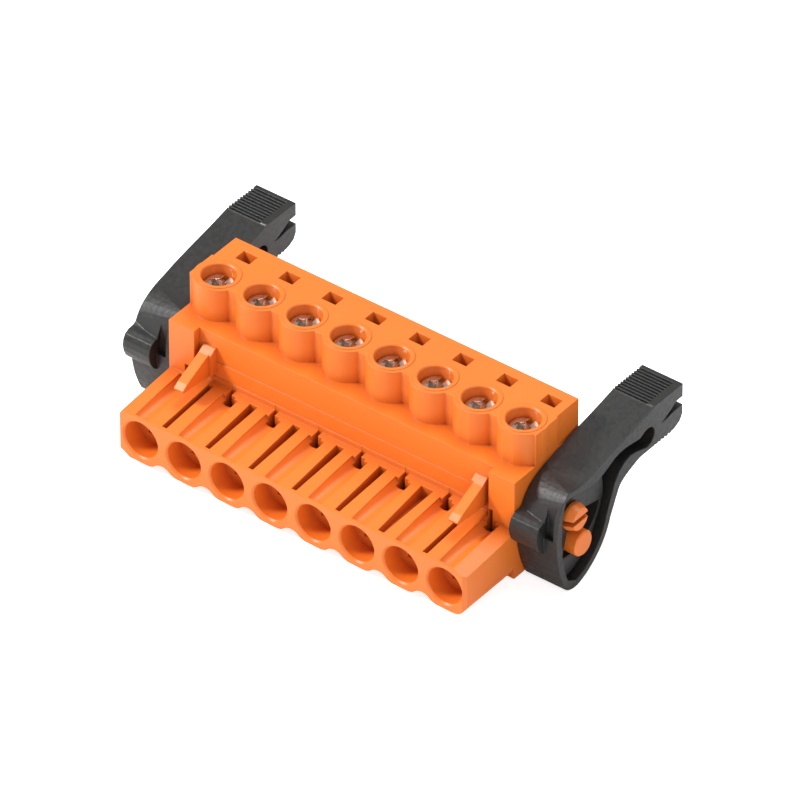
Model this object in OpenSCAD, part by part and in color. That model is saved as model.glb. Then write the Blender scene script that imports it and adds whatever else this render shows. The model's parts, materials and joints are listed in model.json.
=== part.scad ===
// Pluggable terminal block: one insulating housing, a screw clamp and a spring
// contact for every pole, and a release lever on a snap stud at each end.
// X runs along the row, Y from the mating face to the wire side, Z up.
// The origin is on the mating face, in the middle of the row of sockets.

/* [Row] */
// Distance between neighbouring poles
pitch = 5.08; // [5.04:0.02:5.12]
// Housing wall outside the last pole, from its axis
end_margin = 2.42; // [2.38:0.01:2.50]

/* [Mating comb] */
// Bore of each socket mouth
socket_bore = 3.9; // [3.8:0.02:3.94]
// Depth of the wide part of a socket
socket_depth = 2.3; // [2.0:0.1:2.6]
// Length of the comb in front of the riser wall
comb_length = 8.35; // [8.2:0.05:8.5]
// Comb top above the socket axis at the mating face
comb_front_top = 2.5; // [2.4:0.02:2.6]
// Comb top above the socket axis at the riser wall
comb_rear_top = 3.16; // [3.0:0.02:3.3]
// Crests of the comb underside below the socket axis
crest_drop = 2.6; // [2.5:0.02:2.7]
// Valleys of the comb underside below the socket axis
valley_drop = 1.9; // [1.8:0.02:2.0]
// Width of the keying groove over each socket
groove_width = 1.8; // [1.6:0.05:1.9]
// Width of a coding slot at its front end
slot_front_width = 0.55; // [0.5:0.01:0.6]
// Width of a coding slot at its rear end
slot_rear_width = 0.9; // [0.7:0.05:1.1]

/* [Body] */
// Underside of the body below the socket axis
base_drop = 2.75; // [2.7:0.01:2.85]
// Ledge in front of the screw towers above the socket axis
ledge_top = 8.5; // [8.4:0.05:8.6]
// Tops of the screw towers above the socket axis
tower_top = 12.13; // [12.0:0.01:12.3]
// Rear face of the body from the mating face
body_rear = 17.5; // [17.4:0.05:17.7]
// Row of clamp screws from the mating face
screw_line = 12.08; // [12.0:0.02:12.14]
// Radius of the rounded tower fronts
tower_radius = 2.5; // [2.4:0.02:2.52]
// Bore of a screw well
well_bore = 3.34; // [3.3:0.02:3.4]
// Bore of a wire entry
wire_bore = 3.0; // [2.8:0.05:3.2]

/* [Clamp] */
// Diameter of the screw head
head_diameter = 3.16; // [3.1:0.02:3.2]
// Screw head below the tower top
head_sink = 1.0; // [0.9:0.05:1.1]
// Diameter over the screw thread
thread_diameter = 2.5; // [2.4:0.02:2.6]
// Width of the clamping yoke along the row
yoke_width = 3.9; // [3.8:0.02:3.94]
// Length of the clamping yoke along the wire
yoke_length = 3.6; // [3.4:0.05:3.7]
// Lift of the yoke from open to closed
yoke_travel = 2.4; // [2.2:0.05:2.4]
// Width of the current bar
bar_width = 2.9; // [2.7:0.05:2.95]
// Thickness of the current bar
bar_thickness = 0.8; // [0.7:0.05:0.85]

/* [Release levers] */
// Width of a lever along the row
lever_width = 4.67; // [4.5:0.01:4.7]
// Depth of the recess on each side of the lever's web
web_recess = 0.75; // [0.65:0.05:0.8]
// Thickness of the spring band round the loop
band_thickness = 0.7; // [0.6:0.02:0.8]
// Diameter of the snap stud's neck
stud_diameter = 2.3; // [2.2:0.02:2.4]
// Diameter of the stop peg
peg_diameter = 2.64; // [2.5:0.02:2.68]
// Swing of a lever from rest to its stop
lever_swing = 42; // [36:1:44]

/* [Hidden] */
$fn = 48;
poles = 8;
eps = 0.01;
wall_gap = 0.1;
running_gap = 0.05;

end_x = (poles - 1) / 2 * pitch + end_margin;
function pole_x(i) = (i - (poles + 1) / 2) * pitch;

// comb
mouth_bevel = 0.18;
passage = 1.7;
chamber_half = 1.35;
chamber_front = socket_depth + 0.7;
groove_radius = 1.0;
groove_front_floor = 2.1;
groove_rear_floor = 2.3;
groove_front = 0.3;
groove_rear = 7.2;
slot_floor = 1.7;
slot_front = 0.42;
slot_rear = 7.5;
wide_slot_front = 0.7;
wide_slot_rear = 1.4;
thin_slot = 0.55;
crest_flat = 0.8;
end_bevel = 1.4;
end_bevel_angle = 19.6;
left_chamfer = [1.14, 0.67];
left_edge_angle = 60;
front_edge = 0.5;

// body
ear_front = 7.5;
ear_width = 3.0;
plinth_low = 3.7;
plinth_high = 5.4;
plinth_step = 0.09;
valley_front = screw_line - 1.35;
side_step_y = 14.1;
side_step = 0.18;
ring_radius = 2.15;
ring_height = 0.05;
marking_flat = 0.08;
hook_x = 15.9;
hook_width = 1.38;
hook_under = 4.0;
cover_gap = 0.15;
test_offset = 0.45;
test_line = 15.7;
test_funnel = 1.6;

// clamp
head_height = 1.5;
head_top = tower_top - head_sink;
head_seat = head_top - head_height;
bar_under = 2.4;
bar_top = bar_under + bar_thickness;
bar_rear = 14.6;
tail_rear = 16.3;
tail_width = 1.0;
screw_end = bar_top + 0.05;
yoke_wall = 0.35;
yoke_plate = 1.5;
yoke_floor = 0.8;
yoke_bottom = -1.9;
yoke_window_top = 3.9;
yoke_top = yoke_window_top + yoke_plate;
well_chamber_half = yoke_width / 2 + wall_gap;
chamber_y0 = screw_line - yoke_length / 2 - wall_gap;
chamber_y1 = screw_line + yoke_length / 2 + wall_gap;
chamber_top = yoke_top + yoke_travel + wall_gap;
wire_z = (yoke_bottom + yoke_floor + bar_under) / 2;
funnel_bore = wire_bore + 0.9;
funnel_depth = 1.0;
riser_front = 8.75;
riser_rear = riser_front + bar_thickness;
contact_tip = chamber_front + 0.25;
leaf = 0.35;
contact_width = 2.1;
contact_half = 1.15;
pin_gap = 0.45;

// lever
lever_in = end_x + wall_gap;
lever_out = lever_in + lever_width;
web_out = lever_out - web_recess;
web_in = lever_in + web_recess;
hinge = [10.67, 4.84];
peg_reach = 3.3;
peg_angle = -80;
stud_end = web_out + 1.2;
barb_rise = 0.28;
barb_under = web_out + 0.12;
barb_crest = barb_under + 0.3;
snap_slot = 0.55;
track_gap = 0.08;
track_half = peg_diameter / 2 + track_gap;
track_lead = asin(peg_diameter / 2 / peg_reach) + 1;
track_start = peg_angle - track_lead;
track_end = peg_angle + lever_swing + track_lead;
web_reach = peg_reach + track_half + 0.35;
front_centre = [21.48, 3.44];
front_radius = 13.8;
lip_centre = [23.47, 3.54];
lip_radius = 15.06;
loop_centre = [9.07, 3.64];
loop_radius = 7.15;
loop_in = loop_radius - band_thickness;
bulb_centre = [21.6, 7.33];
bulb_radius = 1.08;
nose_width = 3.15;
hub_recess = 2.0;
shoulder_flats = 9;
shoulder_rise = 1.5;
ridge_pitch = 0.42;
ridge_depth = 0.3;
ridge_mouth = 0.15;
ridge_foot = 0.06;
grip_border = 0.75;
grip_fall = 0.1;
ridge_count = 9;
ridge_start = 22.62;
grip_top = 10.42;
grip_end = 27.0;
tooth_pitch = 0.52;
tooth_count = 6;

housing_orange = [0.95, 0.45, 0.12];
lever_black = [0.09, 0.09, 0.09];
steel = [0.72, 0.72, 0.74];
tin = [0.80, 0.80, 0.78];

// Points on an arc, angles in degrees
function arc_pts(c, r, a0, a1, n) =
    [for (i = [0:n]) c + r * [cos(a0 + (a1 - a0) * i / n), sin(a0 + (a1 - a0) * i / n)]];
// Points on a cubic curve through its end points
function bez_pts(a, b, c, d, n) =
    [for (i = [0:n]) let (t = i / n, u = 1 - t)
        u * u * u * a + 3 * u * u * t * b + 3 * u * t * t * c + t * t * t * d];

// A (Y, Z) profile extruded from X = x0 to X = x1
module along_x(x0, x1) {
    translate([x0, 0, 0]) rotate([90, 0, 90]) linear_extrude(height = x1 - x0) children();
}
// An (X, Z) profile extruded from Y = y0 to Y = y1
module along_y(y0, y1) {
    translate([0, y1, 0]) rotate([90, 0, 0]) linear_extrude(height = y1 - y0) children();
}
// A block from its low corner to its high corner
module block(low, high) {
    translate(low) cube(high - low);
}
module rod_y(x, z, y0, y1, r0, r1) {
    translate([x, y0, z]) rotate([-90, 0, 0]) cylinder(h = y1 - y0, r1 = r0, r2 = r1);
}
module rod_x(y, z, x0, x1, r0, r1) {
    translate([x0, y, z]) rotate([0, 90, 0]) cylinder(h = x1 - x0, r1 = r0, r2 = r1);
}

// Underside valley between two sockets: concave arc tangent to the crest edges
module valley_profile() {
    drop = crest_drop - valley_drop;
    half = pitch / 2 - crest_flat;
    r = (half * half + drop * drop) / (4 * drop);
    turn = atan2(drop - 2 * r, half);
    crest = -crest_drop + r;
    polygon(concat(
        arc_pts([-half, crest], r, -90, turn, 5),
        arc_pts([0, -valley_drop - r], r, turn + 180, -turn, 10),
        arc_pts([half, crest], r, 180 - turn, 270, 5),
        [[half, -crest_drop - 1], [-half, -crest_drop - 1]]));
}

// Comb outline in (X, Z): chamfered ends, scalloped underside
module comb_profile() {
    top = comb_rear_top + 0.2;
    difference() {
        polygon(concat(
            [[-end_x, top], [-end_x, left_chamfer[1] - crest_drop],
                [-end_x + left_chamfer[0], -crest_drop]],
            arc_pts([end_x - end_bevel, -crest_drop + end_bevel], end_bevel, 270, 360, 8),
            [[end_x, top]]));
        for (i = [1:poles - 1]) translate([(pole_x(i) + pole_x(i + 1)) / 2, 0]) valley_profile();
    }
}

// Front comb with the top falling towards the mating face and a sloping right end
module comb() {
    fall = atan((comb_rear_top - comb_front_top) / comb_length);
    difference() {
        along_y(0, comb_length + 0.5) comb_profile();
        translate([0, 0, comb_front_top]) rotate([fall, 0, 0]) {
            block([-end_x - 1, -1, 0], [end_x + 1, comb_length + 2, 2]);
            translate([end_x - end_bevel, 0, 0]) rotate([0, end_bevel_angle, 0])
                block([0, -1, 0], [3, comb_length + 2, 2]);
            translate([-end_x + 0.2, 0, 0]) rotate([0, -left_edge_angle, 0])
                block([-3, -1, 0], [0, comb_length + 2, 2]);
        }
        translate([end_x, 0, 0]) rotate([0, 0, 45]) cube([front_edge, front_edge, 20], center = true);
    }
}

// Ramp rib that locks the header's latch
module hook(x) {
    along_x(x - hook_width / 2, x + hook_width / 2)
        polygon([[comb_length + 0.3, 7.05], [comb_length - 0.2, 7.0], [7.4, 6.47], [4.25, 5.02],
            [3.6, 4.55], [3.72, 4.3], [comb_length + 0.3, hook_under]]);
}

// Main block behind the comb, with the end ears and the thin plinth steps
module body() {
    block([-end_x, comb_length, -base_drop], [end_x, body_rear, ledge_top]);
    block([-end_x, comb_length - 2 * plinth_step, -base_drop], [end_x, comb_length, plinth_low]);
    block([-end_x, comb_length - plinth_step, plinth_low], [end_x, comb_length, plinth_high]);
    for (s = [0, 1]) mirror([s, 0, 0])
        block([end_x - ear_width, ear_front, -base_drop], [end_x, comb_length, ledge_top]);
}

// Screw towers: round fronts joined by flat valleys, one flat back
module towers() {
    block([-end_x, valley_front, ledge_top - eps], [end_x, body_rear, tower_top]);
    for (i = [1:poles]) intersection() {
        translate([pole_x(i), screw_line, ledge_top - eps])
            cylinder(h = tower_top - ledge_top + eps, r = tower_radius);
        front = screw_line - tower_radius + (i > poles - 2 ? marking_flat : 0);
        block([pole_x(i) - pitch, front, ledge_top - eps], [pole_x(i) + pitch, body_rear, tower_top]);
    }
    for (i = [1:poles]) translate([pole_x(i), screw_line, tower_top - eps])
        cylinder(h = ring_height + eps, r = ring_radius);
}

// Split snap stud and round stop peg on the right side
module stud_and_peg() {
    neck = stud_diameter / 2;
    root = end_x - 0.5;
    difference() {
        union() {
            rod_x(hinge[0], hinge[1], root, stud_end, neck, neck);
            rod_x(hinge[0], hinge[1], barb_under, barb_crest, neck + barb_rise, neck + barb_rise);
            rod_x(hinge[0], hinge[1], barb_crest, stud_end, neck + barb_rise, neck);
        }
        block([web_in, hinge[0] - 2, hinge[1] - snap_slot / 2],
            [stud_end + 1, hinge[0] + 2, hinge[1] + snap_slot / 2]);
    }
    peg = [hinge[0] + peg_reach * cos(peg_angle), hinge[1] + peg_reach * sin(peg_angle)];
    edge = 0.15;
    rod_x(peg[0], peg[1], root, stud_end - edge, peg_diameter / 2, peg_diameter / 2);
    rod_x(peg[0], peg[1], stud_end - edge, stud_end, peg_diameter / 2, peg_diameter / 2 - edge);
}

// Everything cut from the comb at one pole
module socket_cuts(x) {
    bore = socket_bore / 2;
    rod_y(x, 0, -1, socket_depth, bore, bore);
    rod_y(x, 0, -eps, mouth_bevel, bore + mouth_bevel, bore);
    block([x - passage / 2, 0, -passage / 2], [x + passage / 2, chamber_front + 1, passage / 2]);
    block([x - chamber_half, chamber_front, -chamber_half],
        [x + chamber_half, riser_rear + cover_gap, chamber_half]);
    half = groove_width / 2;
    rise = (groove_rear_floor - groove_front_floor) / (groove_rear - groove_front);
    translate([x, groove_front, groove_front_floor + groove_radius]) rotate([atan(rise), 0, 0])
        intersection() {
            rod_y(0, 0, 0, groove_rear - groove_front, groove_radius, groove_radius);
            block([-half, -1, -groove_radius - 1], [half, groove_rear, groove_radius + 1]);
        }
    block([x - 0.55, groove_rear - 0.5, 0], [x + 0.45, groove_rear + 0.3, comb_rear_top + 1]);
    block([x - 0.55, groove_rear, 0], [x - 0.1, comb_length - 0.15, comb_rear_top + 1]);
}

// Coding slot between two poles, wider to the rear
module coding_slot(x, front_width, rear_width) {
    f = front_width / 2;
    r = rear_width / 2;
    translate([x, 0, slot_floor]) linear_extrude(height = 5)
        polygon([[-f, slot_front], [f, slot_front], [r, slot_rear], [-r, slot_rear]]);
}

// Everything cut from the body at one pole
module clamp_cuts(x) {
    block([x - well_chamber_half, chamber_y0, yoke_bottom - wall_gap],
        [x + well_chamber_half, chamber_y1, chamber_top]);
    translate([x, screw_line, head_seat])
        cylinder(h = tower_top - head_seat + 1, r = well_bore / 2);
    translate([x, screw_line, tower_top + ring_height - 0.12])
        cylinder(h = 0.2, r1 = well_bore / 2, r2 = well_bore / 2 + 0.2);
    translate([x, screw_line, chamber_top - 1])
        cylinder(h = head_seat - chamber_top + 2, r = thread_diameter / 2 + running_gap);
    slot = bar_width / 2 + cover_gap / 2;
    block([x - slot, riser_front - cover_gap, -chamber_half],
        [x + slot, riser_rear + cover_gap, bar_top + cover_gap]);
    block([x - slot, riser_front, bar_under], [x + slot, bar_rear + cover_gap, bar_top + cover_gap]);
    tail = tail_width / 2 + cover_gap / 2;
    block([x - tail, bar_rear, bar_under], [x + tail, tail_rear + cover_gap, bar_top + cover_gap]);
    rod_y(x, wire_z, chamber_y1 - 1, body_rear + 1, wire_bore / 2, wire_bore / 2);
    rod_y(x, wire_z, body_rear - funnel_depth - 0.5, body_rear - funnel_depth,
        wire_bore / 2, funnel_bore / 2);
    rod_y(x, wire_z, body_rear - funnel_depth - eps, body_rear + 1, funnel_bore / 2, funnel_bore / 2);
}

// Test probe opening: a four-sided funnel above the tail of the current bar
module test_cuts(x) {
    cx = x + test_offset;
    cy = test_line;
    depth = test_funnel;
    intersection() {
        along_y(cy - 2, cy + 2) polygon([[cx - 0.83, tower_top + eps], [cx + 0.83, tower_top + eps],
            [cx + 0.3, tower_top - depth], [cx - 0.5, tower_top - depth]]);
        along_x(cx - 2, cx + 2) polygon([[cy - 0.68, tower_top + eps], [cy + 0.68, tower_top + eps],
            [cy + 0.35, tower_top - depth], [cy - 0.35, tower_top - depth]]);
    }
    block([cx - 0.5, cy - 0.35, bar_top], [cx + 0.3, cy + 0.35, tower_top - depth + eps]);
}

module housing() {
    color(housing_orange) difference() {
        union() {
            comb();
            body();
            towers();
            for (s = [-1, 1]) hook(s * hook_x);
            for (s = [0, 1]) mirror([s, 0, 0]) stud_and_peg();
        }
        for (i = [1:poles]) {
            socket_cuts(pole_x(i));
            clamp_cuts(pole_x(i));
            test_cuts(pole_x(i));
        }
        for (i = [1:poles - 1]) {
            wide = i == poles - 2;
            thin = i == 1 || i == poles - 1;
            rear = wide ? wide_slot_rear : thin ? thin_slot : slot_rear_width;
            coding_slot((pole_x(i) + pole_x(i + 1)) / 2, wide ? wide_slot_front : slot_front_width, rear);
        }
        for (s = [-1, 1]) translate([s * end_x, side_step_y + 5, ledge_top + 3])
            cube([2 * side_step, 10, 6], center = true);
    }
}

// Screw with a slot-and-cross recess, its end bearing on the current bar
module clamp_screw(i) {
    slot = 0.6;
    cross = 0.5;
    depth = 0.8;
    edge = 0.2;
    lead_in = 0.3;
    translate([pole_x(i), screw_line, 0]) color(steel) difference() {
        union() {
            translate([0, 0, screw_end + lead_in])
                cylinder(h = head_seat - screw_end - lead_in + eps, r = thread_diameter / 2);
            translate([0, 0, screw_end])
                cylinder(h = lead_in, r1 = thread_diameter / 2 - lead_in, r2 = thread_diameter / 2);
            translate([0, 0, head_seat])
                cylinder(h = head_height - edge, r = head_diameter / 2);
            translate([0, 0, head_top - edge])
                cylinder(h = edge, r1 = head_diameter / 2, r2 = head_diameter / 2 - edge);
        }
        translate([0, 0, head_top]) cube([slot, head_diameter + 1, 2 * depth], center = true);
        translate([0, 0, head_top]) cube([2.0, cross, 2.2 * depth], center = true);
        translate([0, 0, head_top - 1.1]) cylinder(h = 1.2, r1 = 0.25, r2 = 0.75);
    }
}

// Square cage that the screw draws up: threaded roof, side walls, serrated floor
module clamp_yoke(i) {
    half = yoke_width / 2;
    y0 = screw_line - yoke_length / 2;
    y1 = screw_line + yoke_length / 2;
    inner = half - yoke_wall;
    floor_top = yoke_bottom + yoke_floor;
    color(tin) translate([pole_x(i), 0, 0]) difference() {
        block([-half, y0, yoke_bottom], [half, y1, yoke_top]);
        block([-inner, y0 - 1, floor_top], [inner, y1 + 1, yoke_window_top]);
        translate([0, screw_line, yoke_window_top - 1])
            cylinder(h = yoke_plate + 2, r = thread_diameter / 2 + running_gap);
        for (k = [-1:1]) translate([0, screw_line + k * 0.9, floor_top])
            rotate([45, 0, 0]) cube([2 * inner, 0.28, 0.28], center = true);
    }
}

// One spring leaf of the socket contact, in (Y, Z)
module leaf_profile() {
    polygon([[riser_front, contact_half - leaf], [riser_front, contact_half],
        [7.4, contact_half], [4.4, pin_gap + leaf], [3.9, pin_gap + leaf],
        [contact_tip, contact_half], [contact_tip, contact_half - 0.25],
        [3.75, pin_gap], [4.5, pin_gap], [7.3, contact_half - leaf]]);
}

// Current bar, its step down to the socket axis and the two contact leaves
module contact(i) {
    half = bar_width / 2;
    narrow = contact_width / 2;
    color(tin) translate([pole_x(i), 0, 0]) {
        block([-half, riser_front, bar_under], [half, bar_rear, bar_top]);
        block([-tail_width / 2, bar_rear - eps, bar_under], [tail_width / 2, tail_rear, bar_top]);
        block([-narrow, riser_front, -contact_half], [narrow, riser_rear, bar_top]);
        along_x(-narrow, narrow) leaf_profile();
        mirror([0, 0, 1]) along_x(-narrow, narrow) leaf_profile();
    }
}

// Lever outline in (Y, Z): front edge, top, grip, underside, spring band
module lever_outline() {
    shoulder = [8.82, 8.51];
    saddle = [13.6, 8.5];
    grip_start = [22.4, 10.3];
    jaw_root = [20.43, 5.74];
    knee = [16.95, 3.7];
    polygon(concat(
        arc_pts(front_centre, front_radius, 207, 160, 14),
        bez_pts(shoulder, [10.3, 8.3], [11.4, 7.75], saddle, 8),
        bez_pts([14.2, 8.66], [16.5, 9.2], [19.5, 9.6], grip_start, 6),
        [[22.55, grip_top], [grip_end, grip_top - grip_fall], [grip_end, 6.85], [26.64, 6.2], [25.9, 5.85],
            [24.8, 5.62], [22.3, 5.74]],
        bez_pts(jaw_root, [18.4, 5.15], [17.3, 4.8], knee, 7),
        arc_pts(loop_centre, loop_radius, -17, -76, 18),
        [[10.2, -3.27], [9.6, -3.08]]));
}

// The hollow of the lever: the pocket in front and the loop behind the spring band
module lever_hollow() {
    polygon(concat(
        arc_pts(lip_centre, lip_radius, 201, 164.4, 12),
        bez_pts([9.6, 7.79], [11.0, 7.6], [12.8, 6.75], [14.4, 7.25], 8),
        bez_pts([14.8, 7.38], [15.6, 7.6], [16.4, 8.38], [18.1, 8.28], 6),
        bez_pts([18.6, 8.24], [19.4, 8.15], [20.4, 7.8], [20.9, 8.2], 4),
        arc_pts(bulb_centre, bulb_radius, 112, -108, 12),
        bez_pts([20.41, 6.57], [19.4, 6.95], [17.8, 7.3], [16.55, 5.1], 8),
        arc_pts(loop_centre, loop_in, -13, -75, 18)));
}

// The part of the hollow that the web fills
module web_profile() {
    intersection() {
        lever_hollow();
        union() {
            translate(loop_centre) circle(r = loop_in - 0.55);
            translate(hinge) circle(r = web_reach);
            translate([8, hinge[1]]) square([7.1, 4]);
        }
    }
}

// Curved track that lets the stop peg through the web
module peg_track() {
    inner = peg_reach - track_half;
    outer = peg_reach + track_half;
    far = 2 * outer;
    middle = (track_start + track_end) / 2;
    translate(hinge) intersection() {
        difference() {
            circle(r = outer);
            circle(r = inner);
        }
        polygon([[0, 0], far * [cos(track_start), sin(track_start)], far * [cos(middle), sin(middle)],
            far * [cos(track_end), sin(track_end)]]);
    }
}

// Nose of the lever that presses against the mating header
module nose_profile() {
    polygon([[9.2, 1.7], [7.78, 1.7], [7.3, 2.02], [6.9, 2.5], [6.62, 3.15], [6.5, 3.85], [6.6, 4.5],
        [6.9, 5.02], [7.4, 5.26], [8.1, 5.3], [9.2, 5.9]]);
}

// Cuts away all that lies above the plane through three points
module shave(a, b, c) {
    raw = cross(b - a, c - a);
    n = (raw[2] > 0 ? raw : -raw) / norm(raw);
    translate(a) rotate([-asin(n[1]), atan2(n[0], n[2]), 0]) block([-8, -8, 0], [8, 8, 5]);
}

// Shoulder that slopes down from the outer rim to the nose in narrow flats
module shoulder_cuts() {
    low = bez_pts([12.6, 8.25], [10.6, 7.8], [9.1, 7.1], [8.42, 5.4], shoulder_flats);
    for (k = [0:shoulder_flats - 1]) {
        rise = shoulder_rise * (0.6 + 0.4 * (k + 1) / shoulder_flats) + 0.45 * k / shoulder_flats;
        shave([lever_in, low[k][0], low[k][1]], [lever_in, low[k + 1][0], low[k + 1][1]],
            [lever_out, low[k][0], low[k][1] + rise]);
    }
}

// One lever; both ends of the block take the same moulding
module lever_body() {
    hole = stud_diameter / 2 + running_gap;
    difference() {
        union() {
            along_x(lever_in, lever_out) difference() {
                lever_outline();
                lever_hollow();
            }
            along_x(web_in, web_out) difference() {
                web_profile();
                peg_track();
                translate(hinge) circle(r = hole);
            }
            // nose side, filled but for the hinge recess and the half below it
            along_x(lever_in, web_in) difference() {
                web_profile();
                translate(hinge) circle(r = hub_recess);
                translate([0, hinge[1] - 20]) square([40, 20]);
            }
        }
        shoulder_cuts();
        grip_cuts();
        // scoop between the nose and the outer rim
        along_x(lever_in + nose_width, lever_out - 0.5)
            polygon([[6, 3.6], [8.2, 3.6], [8.35, 5.9], [8.5, 8.2], [6, 8.2]]);
    }
    along_x(lever_in, lever_in + nose_width) intersection() {
        nose_profile();
        translate([5, 0]) square([3.55, 8]);
    }
}

// Ridges on the grip, the slit between its jaws and the teeth under the lower jaw
module grip_cuts() {
    for (k = [0:ridge_count]) along_x(lever_in - 1, lever_out - grip_border)
        translate([ridge_start + k * ridge_pitch, grip_top - grip_fall * k / ridge_count])
            polygon([[-ridge_mouth, ridge_mouth], [-ridge_foot, -ridge_depth],
                [ridge_foot, -ridge_depth], [ridge_mouth, ridge_mouth]]);
    along_x(lever_in - 1, lever_out + 1)
        polygon([[grip_end + 1, 8.85], [25.96, 8.85], [25.04, 8.3], [24.42, 8.0], [23.65, 7.71],
            [24.6, 7.72], [25.6, 7.9], [grip_end + 1, 7.9]]);
    for (k = [0:tooth_count]) along_x(lever_in - 1, lever_out + 1)
        translate([22.6 + k * tooth_pitch, 5.5])
            polygon([[0, -0.3], [0.1, 0.32], [0.45, 0.12], [0.5, -0.3]]);
}

module lever_right() {
    color(lever_black) lever_body();
}
module lever_left() {
    color(lever_black) translate([-lever_in - lever_out, 0, 0]) lever_body();
}

housing();
lever_left();
lever_right();
clamp_screw(1);  // clamp_screw_1
clamp_screw(2);  // clamp_screw_2
clamp_screw(3);  // clamp_screw_3
clamp_screw(4);  // clamp_screw_4
clamp_screw(5);  // clamp_screw_5
clamp_screw(6);  // clamp_screw_6
clamp_screw(7);  // clamp_screw_7
clamp_screw(8);  // clamp_screw_8
clamp_yoke(1);  // clamp_yoke_1
clamp_yoke(2);  // clamp_yoke_2
clamp_yoke(3);  // clamp_yoke_3
clamp_yoke(4);  // clamp_yoke_4
clamp_yoke(5);  // clamp_yoke_5
clamp_yoke(6);  // clamp_yoke_6
clamp_yoke(7);  // clamp_yoke_7
clamp_yoke(8);  // clamp_yoke_8
contact(1);  // contact_1
contact(2);  // contact_2
contact(3);  // contact_3
contact(4);  // contact_4
contact(5);  // contact_5
contact(6);  // contact_6
contact(7);  // contact_7
contact(8);  // contact_8
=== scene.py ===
"""Pluggable terminal block: materials, fine moulding detail, studio and camera."""

import json
import logging
import math
from dataclasses import dataclass, field
from enum import Enum

import bpy
import numpy as np
from mathutils import Euler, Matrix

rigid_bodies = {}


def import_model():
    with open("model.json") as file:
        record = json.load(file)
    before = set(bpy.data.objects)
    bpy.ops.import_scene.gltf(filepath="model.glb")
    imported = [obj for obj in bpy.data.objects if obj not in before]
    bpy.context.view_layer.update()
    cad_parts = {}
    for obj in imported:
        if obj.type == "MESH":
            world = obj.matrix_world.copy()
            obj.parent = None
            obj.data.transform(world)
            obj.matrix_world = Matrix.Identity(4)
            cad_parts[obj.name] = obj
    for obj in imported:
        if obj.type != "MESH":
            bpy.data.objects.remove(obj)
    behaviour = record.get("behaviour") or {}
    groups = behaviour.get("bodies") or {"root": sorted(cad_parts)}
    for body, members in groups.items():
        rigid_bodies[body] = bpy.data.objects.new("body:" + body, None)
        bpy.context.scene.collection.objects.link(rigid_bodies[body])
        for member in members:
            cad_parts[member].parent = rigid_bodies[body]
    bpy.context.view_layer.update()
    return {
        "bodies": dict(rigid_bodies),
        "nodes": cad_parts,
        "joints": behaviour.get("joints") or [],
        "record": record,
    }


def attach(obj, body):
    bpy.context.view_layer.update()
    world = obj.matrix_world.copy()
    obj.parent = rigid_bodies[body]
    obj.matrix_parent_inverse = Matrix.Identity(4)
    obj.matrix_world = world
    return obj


log = logging.getLogger("terminal_block")
MM = 0.001

# moulded surface
PIT_SHARE = 0.55
FINE_WEIGHT = 0.6
PIT_WEIGHT = 0.5
FLOW_SCALE = 90.0
# painted shade: how steeply the colour darkens into slits and pockets
PAINTED_SHADE_CURVE = 1.5

# plated surface
DRIFT_SCALE = 420.0
LINE_STRETCH = (1.0, 1.0, 0.15)
LINE_STRENGTH = 0.35
LINE_DEPTH = 0.000006
LINE_SPREAD = 0.25

# studio
FLOOR_HALF = 3.0
FLOOR_COLOUR = (0.93, 0.93, 0.93, 1.0)
FLOOR_GLOW = 0.72
AMBIENT = 0.38
WHITE = (1.0, 1.0, 1.0, 1.0)


class Slot(Enum):
    """Material slots of the part, by the names in its record."""

    HOUSING = "orange_plastic"
    LEVER = "black_plastic"
    SCREW = "zinc_steel"
    YOKE = "zinc_yoke"
    CONTACT = "tinned_copper"


@dataclass(frozen=True)
class PlasticFinish:
    """How a moulded plastic looks.

    Args:
        base: linear colour of the open surface.
        deep: linear colour that the mottling leans to.
        roughness: mean roughness.
        grain_scale: grains per metre of the eroded mould surface.
        grain_height: depth of the grain, in metres.
        sparkle: how much the roughness falls on single grains.
        edge_radius: radius that moulded edges seem to have, in metres.
        painted_shade: linear colour that the shade painted into slits and pockets falls to.
        painted_shade_reach: distance over which near walls darken the painted shade, in metres.
        painted_shade_share: how far the painted shade colour takes over, 0 to 1.
        subsurface: share of light scattered below the surface.
        scatter: scattering distances for red, green and blue, in metres.
    """

    base: tuple[float, float, float]
    deep: tuple[float, float, float]
    roughness: float
    grain_scale: float
    grain_height: float
    sparkle: float
    edge_radius: float
    # painted shade: colour, reach and share of the shade painted into slits and pockets
    painted_shade: tuple[float, float, float]
    painted_shade_reach: float = 0.002
    painted_shade_share: float = 0.8
    subsurface: float = 0.0
    scatter: tuple[float, float, float] = (0.0006, 0.0003, 0.0001)


@dataclass(frozen=True)
class MetalFinish:
    """How a plated metal looks.

    Args:
        base: linear colour of the plating.
        tint: linear colour of the passivation that drifts over it.
        roughness: mean roughness.
        brush_scale: lines per metre of the turned or rolled surface.
        edge_radius: radius that edges seem to have, in metres.
    """

    base: tuple[float, float, float]
    tint: tuple[float, float, float]
    roughness: float
    brush_scale: float
    edge_radius: float


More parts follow.
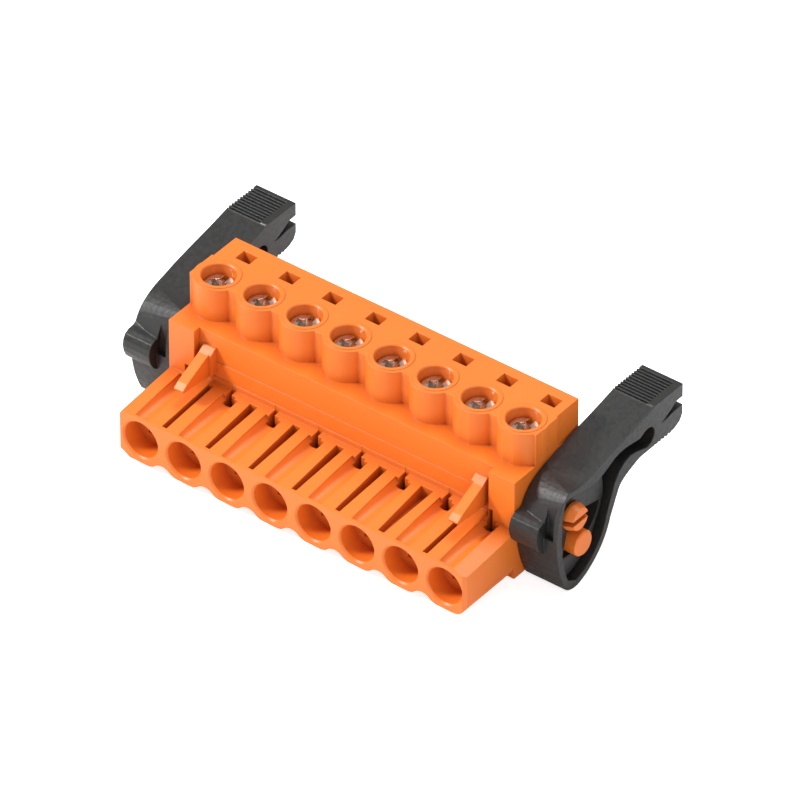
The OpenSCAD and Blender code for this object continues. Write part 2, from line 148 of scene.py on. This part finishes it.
ORANGE = PlasticFinish(
    base=(0.84, 0.200, 0.022),
    deep=(0.79, 0.172, 0.017),
    roughness=0.40,
    grain_scale=5200.0,
    grain_height=0.0000030,
    sparkle=0.10,
    edge_radius=0.00012,
    # painted shade colour for the orange's slits and pockets
    painted_shade=(0.30, 0.045, 0.006),
    subsurface=0.05,
)
BLACK = PlasticFinish(
    base=(0.024, 0.023, 0.022),
    deep=(0.014, 0.0135, 0.013),
    roughness=0.43,
    grain_scale=3600.0,
    grain_height=0.000016,
    sparkle=0.42,
    edge_radius=0.00016,
    # painted shade colour for the black's slits and pockets
    painted_shade=(0.004, 0.004, 0.004),
)
SCREW_PLATE = MetalFinish(
    base=(0.78, 0.76, 0.73), tint=(0.70, 0.65, 0.57), roughness=0.17, brush_scale=3000.0, edge_radius=0.00006
)
YOKE_PLATE = MetalFinish(
    base=(0.62, 0.61, 0.59), tint=(0.56, 0.54, 0.50), roughness=0.34, brush_scale=1800.0, edge_radius=0.00005
)
CONTACT_PLATE = MetalFinish(
    base=(0.74, 0.72, 0.68), tint=(0.66, 0.60, 0.52), roughness=0.28, brush_scale=1400.0, edge_radius=0.00004
)


class NodeTree:
    """Small helper that adds and joins shader nodes."""

    def __init__(self, tree: bpy.types.NodeTree) -> None:
        """Args: tree: the node tree to build in."""
        self.tree = tree

    def add(self, kind: str, **props: object) -> bpy.types.Node:
        """Adds one node.

        Args:
            kind: the node's bl_idname.
            props: attributes set on the node.

        Returns:
            The new node.
        """
        node = self.tree.nodes.new(kind)
        for key, value in props.items():
            setattr(node, key, value)
        return node

    def join(self, source: bpy.types.NodeSocket, target: bpy.types.NodeSocket) -> None:
        """Links one output to one input.

        Args:
            source: the output socket.
            target: the input socket.
        """
        self.tree.links.new(source, target)

    def math(self, operation: str, a: object, b: object = None, c: object = None) -> bpy.types.NodeSocket:
        """Adds a Math node fed by sockets or numbers.

        Args:
            operation: the node's operation.
            a: first operand.
            b: second operand, if the operation has one.
            c: third operand, if the operation has one.

        Returns:
            The node's output.
        """
        node = self.add("ShaderNodeMath", operation=operation)
        for index, value in enumerate((a, b, c)):
            if value is None:
                continue
            if isinstance(value, (int, float)):
                node.inputs[index].default_value = float(value)
            else:
                self.join(value, node.inputs[index])
        return node.outputs[0]

    def mix(self, factor: object, low: object, high: object) -> bpy.types.NodeSocket:
        """Mixes two colours.

        Args:
            factor: socket or number.
            low: colour tuple or socket at factor 0.
            high: colour tuple or socket at factor 1.

        Returns:
            The mixed colour.
        """
        node = self.add("ShaderNodeMix", data_type="RGBA")
        for name, value in (("Factor", factor), ("A", low), ("B", high)):
            sockets = [s for s in node.inputs if s.name == name and s.enabled]
            target = sockets[0]
            if isinstance(value, tuple):
                target.default_value = (*value, 1.0)
            elif isinstance(value, (int, float)):
                target.default_value = float(value)
            else:
                self.join(value, target)
        return [s for s in node.outputs if s.enabled][0]


class EffectLibrary:
    """Shader node groups shared by the finishes. Each puts out values, colours or a normal."""

    def __init__(self) -> None:
        """Builds the groups once."""
        self.grain = self._grain()
        self.brushed = self._brushed()
        # group that paints shade into slits and pockets
        self.painted_shade = self._painted_shade()

    @staticmethod
    def _sockets(group: bpy.types.NodeTree, inputs: dict[str, tuple[str, float]], outputs: dict[str, str]) -> None:
        """Gives a group its sockets.

        Args:
            group: the node group.
            inputs: socket kind and default value by name.
            outputs: socket kind by name.
        """
        for name, (kind, value) in inputs.items():
            socket = group.interface.new_socket(name, in_out="INPUT", socket_type=kind)
            if kind == "NodeSocketFloat":
                socket.default_value = value
        for name, kind in outputs.items():
            group.interface.new_socket(name, in_out="OUTPUT", socket_type=kind)

    def _grain(self) -> bpy.types.NodeTree:
        """Spark-eroded mould grain: two sizes of pits, soft flow mottling, rounded edges."""
        group = bpy.data.node_groups.new("moulded_grain", "ShaderNodeTree")
        self._sockets(
            group,
            {
                "Scale": ("NodeSocketFloat", 4000.0),
                "Height": ("NodeSocketFloat", 0.00001),
                "Edge": ("NodeSocketFloat", 0.0001),
            },
            {"Grain": "NodeSocketFloat", "Mottle": "NodeSocketFloat", "Normal": "NodeSocketVector"},
        )
        t = NodeTree(group)
        inp = t.add("NodeGroupInput")
        out = t.add("NodeGroupOutput")
        coords = t.add("ShaderNodeTexCoord")
        fine = t.add("ShaderNodeTexNoise")
        fine.inputs["Detail"].default_value = 2.0
        fine.inputs["Roughness"].default_value = 0.6
        pits = t.add("ShaderNodeTexVoronoi")
        flow = t.add("ShaderNodeTexNoise")
        flow.inputs["Scale"].default_value = FLOW_SCALE
        flow.inputs["Detail"].default_value = 3.0
        for node in (fine, pits, flow):
            t.join(coords.outputs["Object"], node.inputs["Vector"])
        t.join(inp.outputs["Scale"], fine.inputs["Scale"])
        t.join(t.math("MULTIPLY", inp.outputs["Scale"], PIT_SHARE), pits.inputs["Scale"])
        grains = t.math("MULTIPLY", fine.outputs[0], FINE_WEIGHT)
        holes = t.math("MULTIPLY", pits.outputs[0], PIT_WEIGHT)
        relief = t.math("ADD", grains, holes)
        rounded = t.add("ShaderNodeBevel", samples=4)
        t.join(inp.outputs["Edge"], rounded.inputs["Radius"])
        bump = t.add("ShaderNodeBump")
        bump.inputs["Strength"].default_value = 1.0
        t.join(inp.outputs["Height"], bump.inputs["Distance"])
        t.join(relief, bump.inputs["Height"])
        t.join(rounded.outputs[0], bump.inputs["Normal"])
        t.join(relief, out.inputs["Grain"])
        t.join(flow.outputs[0], out.inputs["Mottle"])
        t.join(bump.outputs[0], out.inputs["Normal"])
        return group

    def _painted_shade(self) -> bpy.types.NodeTree:
        """Painted shade from ambient occlusion: 0 in the open, 1 in a narrow slit between near walls."""
        group = bpy.data.node_groups.new("painted_recess_shade", "ShaderNodeTree")
        self._sockets(
            group,
            {"Reach": ("NodeSocketFloat", 0.002), "Share": ("NodeSocketFloat", 0.8)},
            {"Depth": "NodeSocketFloat"},
        )
        t = NodeTree(group)
        inp = t.add("NodeGroupInput")
        out = t.add("NodeGroupOutput")
        # painted shade: ambient occlusion marks where near walls would shade the surface
        walls = t.add("ShaderNodeAmbientOcclusion", samples=8, only_local=True)
        t.join(inp.outputs["Reach"], walls.inputs["Distance"])
        closed = t.math("SUBTRACT", 1.0, walls.outputs["AO"])
        curve = t.math("POWER", closed, PAINTED_SHADE_CURVE)
        shade_amount = t.math("MULTIPLY", curve, inp.outputs["Share"])
        t.join(shade_amount, out.inputs["Depth"])
        return group

    def _brushed(self) -> bpy.types.NodeTree:
        """Plated metal: faint turning lines, drifting passivation tint, rounded edges."""
        group = bpy.data.node_groups.new("plated_metal", "ShaderNodeTree")
        self._sockets(
            group,
            {"Scale": ("NodeSocketFloat", 2000.0), "Edge": ("NodeSocketFloat", 0.00005)},
            {"Lines": "NodeSocketFloat", "Drift": "NodeSocketFloat", "Normal": "NodeSocketVector"},
        )
        t = NodeTree(group)
        inp = t.add("NodeGroupInput")
        out = t.add("NodeGroupOutput")
        coords = t.add("ShaderNodeTexCoord")
        stretch = t.add("ShaderNodeMapping")
        stretch.inputs["Scale"].default_value = LINE_STRETCH
        lines = t.add("ShaderNodeTexNoise")
        lines.inputs["Detail"].default_value = 3.0
        drift = t.add("ShaderNodeTexNoise")
        drift.inputs["Scale"].default_value = DRIFT_SCALE
        drift.inputs["Detail"].default_value = 2.0
        t.join(coords.outputs["Object"], stretch.inputs["Vector"])
        t.join(stretch.outputs[0], lines.inputs["Vector"])
        t.join(coords.outputs["Object"], drift.inputs["Vector"])
        t.join(inp.outputs["Scale"], lines.inputs["Scale"])
        rounded = t.add("ShaderNodeBevel", samples=4)
        t.join(inp.outputs["Edge"], rounded.inputs["Radius"])
        bump = t.add("ShaderNodeBump")
        bump.inputs["Strength"].default_value = LINE_STRENGTH
        bump.inputs["Distance"].default_value = LINE_DEPTH
        t.join(lines.outputs[0], bump.inputs["Height"])
        t.join(rounded.outputs[0], bump.inputs["Normal"])
        t.join(lines.outputs[0], out.inputs["Lines"])
        t.join(drift.outputs[0], out.inputs["Drift"])
        t.join(bump.outputs[0], out.inputs["Normal"])
        return group


class MaterialLibrary:
    """Builds one procedural material for each slot."""

    def __init__(self, effects: EffectLibrary) -> None:
        """Args: effects: the shared node groups."""
        self.effects = effects
        self.by_slot: dict[Slot, bpy.types.Material] = {
            Slot.HOUSING: self._plastic("orange_plastic_look", ORANGE),
            Slot.LEVER: self._plastic("black_plastic_look", BLACK),
            Slot.SCREW: self._metal("zinc_steel_look", SCREW_PLATE),
            Slot.YOKE: self._metal("zinc_yoke_look", YOKE_PLATE),
            Slot.CONTACT: self._metal("tinned_copper_look", CONTACT_PLATE),
        }

    @staticmethod
    def _start(name: str) -> tuple[bpy.types.Material, NodeTree, bpy.types.Node]:
        """Starts a material with one Principled shader.

        Args:
            name: the material's name.

        Returns:
            The material, its tree and its shader.
        """
        material = bpy.data.materials.new(name)
        material.use_nodes = True
        material.node_tree.nodes.clear()
        tree = NodeTree(material.node_tree)
        shader = tree.add("ShaderNodeBsdfPrincipled")
        output = tree.add("ShaderNodeOutputMaterial")
        tree.join(shader.outputs[0], output.inputs["Surface"])
        return material, tree, shader

    def _plastic(self, name: str, finish: PlasticFinish) -> bpy.types.Material:
        """Moulded plastic with grain, mottling, softened edges and painted shade in slits and pockets.

        Args:
            name: the material's name.
            finish: its look.

        Returns:
            The material.
        """
        material, tree, shader = self._start(name)
        grain = tree.add("ShaderNodeGroup", node_tree=self.effects.grain)
        grain.inputs["Scale"].default_value = finish.grain_scale
        grain.inputs["Height"].default_value = finish.grain_height
        grain.inputs["Edge"].default_value = finish.edge_radius
        # painted shade: the colour darkens towards the painted shade colour where near walls would shade it
        painted_shade = tree.add("ShaderNodeGroup", node_tree=self.effects.painted_shade)
        painted_shade.inputs["Reach"].default_value = finish.painted_shade_reach
        painted_shade.inputs["Share"].default_value = finish.painted_shade_share
        open_colour = tree.mix(grain.outputs["Mottle"], finish.base, finish.deep)
        colour = tree.mix(painted_shade.outputs["Depth"], open_colour, finish.painted_shade)
        tree.join(colour, shader.inputs["Base Color"])
        spread = tree.math("MULTIPLY", tree.math("SUBTRACT", grain.outputs["Grain"], 0.5), -finish.sparkle)
        tree.join(tree.math("ADD", spread, finish.roughness), shader.inputs["Roughness"])
        tree.join(grain.outputs["Normal"], shader.inputs["Normal"])
        if finish.subsurface > 0.0:
            shader.inputs["Subsurface Weight"].default_value = finish.subsurface
            shader.inputs["Subsurface Radius"].default_value = finish.scatter
            shader.inputs["Subsurface Scale"].default_value = 1.0
        return material

    def _metal(self, name: str, finish: MetalFinish) -> bpy.types.Material:
        """Plated metal.

        Args:
            name: the material's name.
            finish: its look.

        Returns:
            The material.
        """
        material, tree, shader = self._start(name)
        plate = tree.add("ShaderNodeGroup", node_tree=self.effects.brushed)
        plate.inputs["Scale"].default_value = finish.brush_scale
        plate.inputs["Edge"].default_value = finish.edge_radius
        shader.inputs["Metallic"].default_value = 1.0
        tree.join(tree.mix(plate.outputs["Drift"], finish.base, finish.tint), shader.inputs["Base Color"])
        spread = tree.math("MULTIPLY", tree.math("SUBTRACT", plate.outputs["Lines"], 0.5), LINE_SPREAD)
        tree.join(tree.math("ADD", spread, finish.roughness), shader.inputs["Roughness"])
        tree.join(plate.outputs["Normal"], shader.inputs["Normal"])
        return material


@dataclass
class Part:
    """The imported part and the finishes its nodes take.

    Args:
        materials: the material library.
    """

    frame: dict
    materials: MaterialLibrary

    def dress(self) -> None:
        """Gives every node the material of its slot."""
        slots = {s["node"]: s["material_slot"] for s in self.frame["record"]["subparts"]}
        for name, obj in self.frame["nodes"].items():
            material = self.materials.by_slot[Slot(slots[name])]
            obj.data.materials.clear()
            obj.data.materials.append(material)
            log.info("dressed %s with %s", name, material.name)


@dataclass(frozen=True)
class ScrewThreads:
    """The rolled thread on the shank of every clamp screw.

    Args:
        poles: number of screws.
        pitch: distance between them, in metres.
        line: distance of the row from the mating face, in metres.
        low: height where the thread starts, in metres.
        high: height where it runs out, in metres.
        lead: rise for one turn, in metres.
        root: radius that the ridge grows from, in metres.
        crest: radius of the ridge's top, in metres.
        steps: sections in one turn.
    """

    poles: int = 8
    pitch: float = 5.08 * MM
    line: float = 12.08 * MM
    low: float = 3.75 * MM
    high: float = 9.3 * MM
    lead: float = 0.45 * MM
    root: float = 1.2 * MM
    crest: float = 1.28 * MM
    steps: int = 28

    def surface(self, x: float) -> tuple[np.ndarray, list[tuple[int, ...]]]:
        """One closed thread ridge.

        A section with two root corners and two crest corners turns round the
        screw's axis while it rises by the lead in each turn. Its height over
        the root eases from nothing to full in the first and the last turn.

        Args:
            x: the screw's place along the row, in metres.

        Returns:
            Vertices as an (n, 3) array, and faces.
        """
        turns = (self.high - self.low) / self.lead
        t = np.linspace(0.0, 1.0, int(turns * self.steps) + 1)
        angle = 2.0 * np.pi * turns * t
        ease = np.clip(np.minimum(t, 1.0 - t) * turns, 0.02, 1.0)
        crest = self.root + (self.crest - self.root) * ease
        middle = self.low + (self.high - self.low) * t
        radius = np.stack([np.full_like(t, self.root), crest, crest, np.full_like(t, self.root)], axis=1)
        offset = np.array([-0.40, -0.09, 0.09, 0.40]) * self.lead
        height = middle[:, None] + offset[None, :]
        px = x + radius * np.cos(angle)[:, None]
        py = self.line + radius * np.sin(angle)[:, None]
        points = np.stack([px, py, height], axis=2).reshape(-1, 3)
        first = np.arange(len(t) - 1)[:, None] * 4
        corner = np.arange(4)[None, :]
        after = (corner + 1) % 4
        quads = np.stack([first + corner, first + 4 + corner, first + 4 + after, first + after], axis=2)
        faces: list[tuple[int, ...]] = [tuple(q) for q in quads.reshape(-1, 4).tolist()]
        last = 4 * (len(t) - 1)
        faces.append((0, 1, 2, 3))
        faces.append((last + 3, last + 2, last + 1, last))
        return points, faces

    def build(self, material: bpy.types.Material) -> None:
        """Makes the ridge of each screw; it turns with its screw.

        Args:
            material: the screws' plating.
        """
        for pole in range(1, self.poles + 1):
            points, faces = self.surface((pole - (self.poles + 1) / 2) * self.pitch)
            name = f"thread_{pole}"
            mesh = bpy.data.meshes.new(name)
            mesh.from_pydata(points.tolist(), [], faces)
            mesh.materials.append(material)
            thread = bpy.data.objects.new(name, mesh)
            bpy.context.scene.collection.objects.link(thread)
            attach(thread, f"screw_{pole}")
            log.info("built %s with %d faces", name, len(faces))


@dataclass(frozen=True)
class AreaLight:
    """One soft box.

    Args:
        name: object name.
        place: where it hangs, in metres.
        aim: the point it faces.
        size: edge lengths in metres.
        watts: power.
        colour: linear colour.
    """

    name: str
    place: tuple[float, float, float]
    aim: tuple[float, float, float]
    size: tuple[float, float]
    watts: float
    colour: tuple[float, float, float] = (1.0, 1.0, 1.0)


@dataclass
class Studio:
    """Floor, light and camera.

    Args:
        floor_z: height of the floor, in metres.
        lights: the soft boxes.
    """

    floor_z: float
    lights: list[AreaLight] = field(default_factory=list)

    def build(self) -> None:
        """Builds everything around the part."""
        self._floor()
        self._world()
        for light in self.lights:
            self._light(light)
        self._camera()

    def _floor(self) -> None:
        """A pale floor that still catches the part's shadow."""
        half = FLOOR_HALF
        mesh = bpy.data.meshes.new("floor")
        z = self.floor_z
        mesh.from_pydata([(-half, -half, z), (half, -half, z), (half, half, z), (-half, half, z)], [], [(0, 1, 2, 3)])
        floor = bpy.data.objects.new("floor", mesh)
        bpy.context.scene.collection.objects.link(floor)
        material = bpy.data.materials.new("pale_floor")
        material.use_nodes = True
        material.node_tree.nodes.clear()
        tree = NodeTree(material.node_tree)
        diffuse = tree.add("ShaderNodeBsdfDiffuse")
        diffuse.inputs["Color"].default_value = FLOOR_COLOUR
        glow = tree.add("ShaderNodeEmission")
        glow.inputs["Color"].default_value = WHITE
        glow.inputs["Strength"].default_value = FLOOR_GLOW
        path = tree.add("ShaderNodeLightPath")
        black = tree.add("ShaderNodeEmission")
        black.inputs["Strength"].default_value = 0.0
        seen = tree.add("ShaderNodeMixShader")
        tree.join(path.outputs["Is Camera Ray"], seen.inputs[0])
        tree.join(black.outputs[0], seen.inputs[1])
        tree.join(glow.outputs[0], seen.inputs[2])
        total = tree.add("ShaderNodeAddShader")
        tree.join(diffuse.outputs[0], total.inputs[0])
        tree.join(seen.outputs[0], total.inputs[1])
        output = tree.add("ShaderNodeOutputMaterial")
        tree.join(total.outputs[0], output.inputs["Surface"])
        mesh.materials.append(material)
        log.info("floor at %.5f m", z)

    @staticmethod
    def _world() -> None:
        """Plain ambient light with a white backdrop for the camera."""
        world = bpy.data.worlds.new("studio")
        bpy.context.scene.world = world
        world.use_nodes = True
        world.node_tree.nodes.clear()
        tree = NodeTree(world.node_tree)
        ambient = tree.add("ShaderNodeBackground")
        ambient.inputs["Color"].default_value = WHITE
        ambient.inputs["Strength"].default_value = AMBIENT
        white = tree.add("ShaderNodeBackground")
        white.inputs["Color"].default_value = WHITE
        white.inputs["Strength"].default_value = 1.0
        path = tree.add("ShaderNodeLightPath")
        mix = tree.add("ShaderNodeMixShader")
        tree.join(path.outputs["Is Camera Ray"], mix.inputs[0])
        tree.join(ambient.outputs[0], mix.inputs[1])
        tree.join(white.outputs[0], mix.inputs[2])
        output = tree.add("ShaderNodeOutputWorld")
        tree.join(mix.outputs[0], output.inputs["Surface"])

    @staticmethod
    def _light(spec: AreaLight) -> None:
        """Hangs one soft box.

        Args:
            spec: its place, aim, size and power.
        """
        data = bpy.data.lights.new(spec.name, "AREA")
        data.shape = "RECTANGLE"
        data.size, data.size_y = spec.size
        data.energy = spec.watts
        data.color = spec.colour
        lamp = bpy.data.objects.new(spec.name, data)
        way = np.array(spec.aim) - np.array(spec.place)
        flat = math.hypot(way[0], way[1])
        lamp.location = spec.place
        lamp.rotation_euler = Euler((math.atan2(flat, -way[2]), 0.0, math.atan2(way[1], way[0]) - math.pi / 2))
        bpy.context.scene.collection.objects.link(lamp)
        log.info("light %s, %.1f W", spec.name, spec.watts)

    @staticmethod
    def _camera() -> None:
        """Long-lens view from the front right and above."""
        azimuth = math.radians(37.392)
        elevation = math.radians(38.253)
        data = bpy.data.cameras.new("camera")
        data.sensor_width = 36.0
        data.lens = 574.79
        data.clip_start = 0.1
        data.clip_end = 20.0
        camera = bpy.data.objects.new("camera", data)
        camera.location = (0.567897, -0.726396, 0.740239)
        camera.rotation_euler = Euler((math.pi / 2 - elevation, 0.0, azimuth))
        bpy.context.scene.collection.objects.link(camera)
        bpy.context.scene.camera = camera
        log.info("camera set")


def main() -> None:
    """Builds the scene in order: part, finishes, studio."""
    logging.basicConfig(level=logging.INFO)
    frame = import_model()
    scene = bpy.context.scene
    scene.view_settings.view_transform = "Standard"
    effects = EffectLibrary()
    materials = MaterialLibrary(effects)
    part = Part(frame, materials)
    part.dress()
    ScrewThreads().build(materials.by_slot[Slot.SCREW])
    aim = (0.004, 0.011, 0.006)
    studio = Studio(
        floor_z=-0.00328,
        lights=[
            AreaLight("key", (-0.62, -0.42, 0.62), aim, (0.20, 0.20), 9.5),
            AreaLight("fill", (0.80, -0.50, 0.45), aim, (0.70, 0.70), 3.2),
            AreaLight("top", (0.0, 0.35, 0.90), aim, (0.50, 0.50), 4.5),
        ],
    )
    studio.build()


if __name__ == "__main__":
    main()
